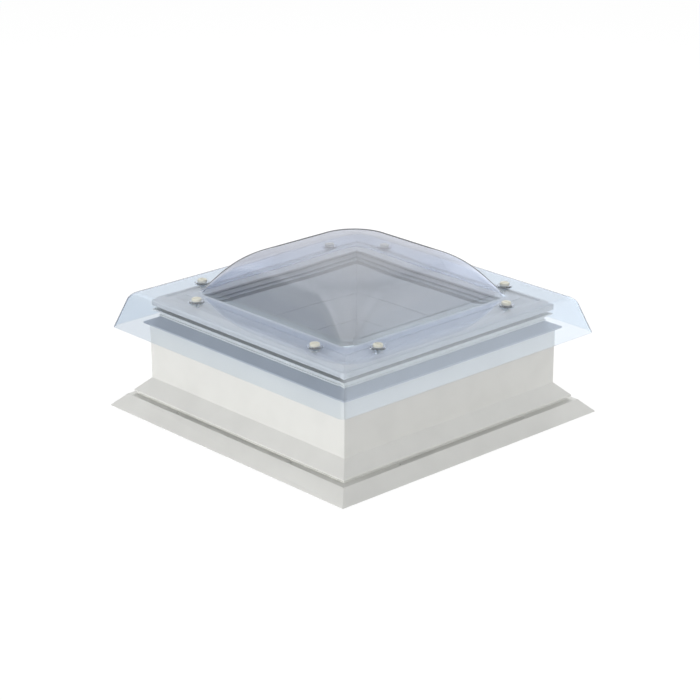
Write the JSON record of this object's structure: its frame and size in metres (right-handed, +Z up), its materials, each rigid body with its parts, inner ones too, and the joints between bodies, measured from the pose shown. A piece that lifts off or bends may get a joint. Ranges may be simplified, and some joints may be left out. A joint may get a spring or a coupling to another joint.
{
  "type": "flat-roof skylight",
  "caption": "Square flat-roof skylight: white kerb with sloped foot, hinged glazed sash under a clear blown dome with a flared skirt, and a telescopic opener inside.",
  "frame": {"origin": "centre of the kerb's underside, on the roof deck", "axes": "+Z up; -Y is the front, where the sash lifts; +Y is the back, where the hinges are; +X is right"},
  "size_m": [1.02, 1.02, 0.488],
  "materials": {
    "white_pvc": "satin",
    "grey_pvc": "satin",
    "black_rubber": "matte",
    "grey_gasket": "matte",
    "float_glass": "polished",
    "clear_acrylic": "polished",
    "cream_nylon": "satin",
    "stainless_steel": "satin",
    "anodised_aluminium": "satin",
    "dark_nylon": "matte"
  },
  "bodies": {
    "kerb_frame": {"kerb_front": "white_pvc", "kerb_right": "white_pvc", "kerb_back": "white_pvc", "kerb_left": "white_pvc", "drip_collar_front": "grey_pvc", "drip_collar_right": "grey_pvc", "drip_collar_back": "grey_pvc", "drip_collar_left": "grey_pvc", "outer_weather_seal": "black_rubber", "inner_weather_seal": "black_rubber", "hinge_left_kerb_leaf": "stainless_steel", "hinge_left_pin": "stainless_steel", "hinge_right_kerb_leaf": "stainless_steel", "hinge_right_pin": "stainless_steel", "hinge_kerb_screws": "stainless_steel", "opener_wall_bracket": "stainless_steel", "opener_bracket_screws": "stainless_steel"},
    "vent_sash": {"sash_front": "white_pvc", "sash_right": "white_pvc", "sash_back": "white_pvc", "sash_left": "white_pvc", "glazing_bead_front": "white_pvc", "glazing_bead_right": "white_pvc", "glazing_bead_back": "white_pvc", "glazing_bead_left": "white_pvc", "outer_pane": "float_glass", "inner_pane": "float_glass", "spacer_bar": "anodised_aluminium", "edge_seal": "grey_gasket", "edge_blocks": "dark_nylon", "lower_gasket": "grey_gasket", "upper_gasket": "grey_gasket", "dome": "clear_acrylic", "dome_spacers": "clear_acrylic", "dome_washers": "clear_acrylic", "dome_screws": "stainless_steel", "dome_caps": "cream_nylon", "hinge_left_sash_leaf": "stainless_steel", "hinge_right_sash_leaf": "stainless_steel", "hinge_sash_screws": "stainless_steel", "sash_bracket": "stainless_steel", "sash_bracket_screws": "stainless_steel", "opener_pin": "stainless_steel"},
    "opener_body": {"opener_tube": "anodised_aluminium", "opener_collar": "dark_nylon", "opener_guide_bush": "dark_nylon", "opener_end_cap": "dark_nylon"},
    "opener_plunger": {"opener_rod": "stainless_steel", "opener_rod_eye": "stainless_steel"}
  },
  "joints": [
    {"name": "sash_hinge", "type": "hinge", "parent": "kerb_frame", "child": "vent_sash", "pos_m": [0, 0.421, 0.3135], "axis": [-1, 0, 0], "range_deg": [0, 14]},
    {"name": "opener_tilt", "type": "hinge", "parent": "kerb_frame", "child": "opener_body", "pos_m": [0, -0.26, 0.25], "axis": [-1, 0, 0], "range_deg": [0, 4.4]},
    {"name": "opener_extend", "type": "slide", "parent": "opener_body", "child": "opener_plunger", "axis": [0, 0, 1], "range_m": [0, 0.168]}
  ],
  "couplings": [
    {"joint": "opener_tilt", "follows": "sash_hinge", "ratio": 0.306},
    {"joint": "opener_extend", "follows": "sash_hinge", "m_per_rad": 0.6793}
  ]
}
